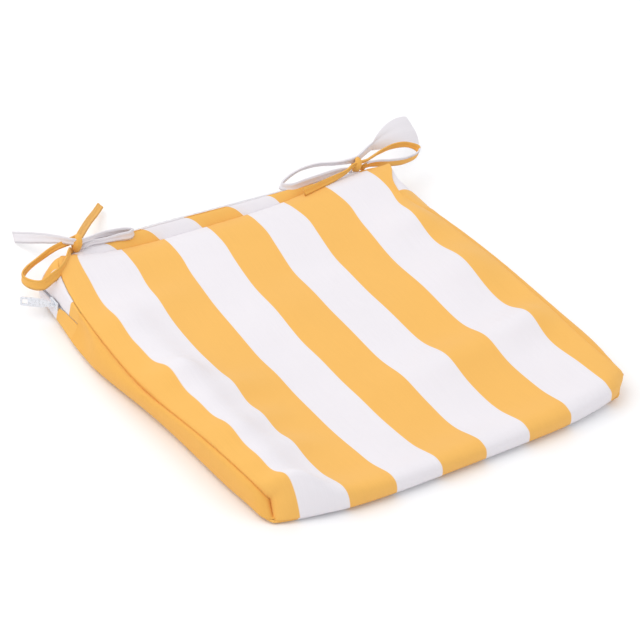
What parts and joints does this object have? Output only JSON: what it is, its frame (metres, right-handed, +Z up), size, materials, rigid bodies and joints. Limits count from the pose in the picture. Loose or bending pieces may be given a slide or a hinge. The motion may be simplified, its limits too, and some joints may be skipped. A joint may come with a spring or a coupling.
{
  "type": "chair seat pad",
  "caption": "Square boxed seat pad with a foam core, a striped zipped cover and fabric ties in bows at the two back corners.",
  "frame": {"origin": "middle of the pad's underside, on the surface that it lies on", "axes": "+Z up through the pad's thickness, +Y to the back edge with the zip and the ties, +X to the right of a person sitting on it"},
  "size_m": [0.5153, 0.4992, 0.0479],
  "materials": {
    "striped_cloth": "plain-weave polyester, printed with equal orange and white stripes",
    "orange_cloth": "plain-weave polyester, matt orange",
    "white_cloth": "plain-weave polyester, matt white",
    "foam": "open-cell polyurethane foam, matt",
    "zip_tape": "woven white zip tape",
    "zip_coil": "grey-white nylon coil",
    "zip_metal": "smooth bluish-white enamel"
  },
  "bodies": {
    "pad": {"foam_core": "foam", "cover_top_panel": "striped_cloth", "cover_bottom_panel": "striped_cloth", "left_side_gusset": "orange_cloth", "right_side_gusset": "orange_cloth", "zip_strip_upper": "striped_cloth", "zip_strip_lower": "striped_cloth", "zip_tape_upper": "zip_tape", "zip_tape_lower": "zip_tape", "zip_coil_upper": "zip_coil", "zip_coil_lower": "zip_coil", "left_tie_orange": "orange_cloth", "left_tie_white": "white_cloth", "right_tie_orange": "orange_cloth", "right_tie_white": "white_cloth", "right_tie_open_end": "white_cloth"},
    "slider": {"slider_body": "zip_metal"},
    "tab": {"pull_tab": "zip_metal"}
  },
  "joints": [
    {"name": "zip_slide", "type": "slide", "parent": "pad", "child": "slider", "axis": [0, 1, 0], "range_m": [0, 0.023]},
    {"name": "pull_tab_hinge", "type": "hinge", "parent": "slider", "child": "tab", "pos_m": [-0.203, 0.158, 0.017], "axis": [0, 0, 1], "range_deg": [-46, 124]}
  ]
}
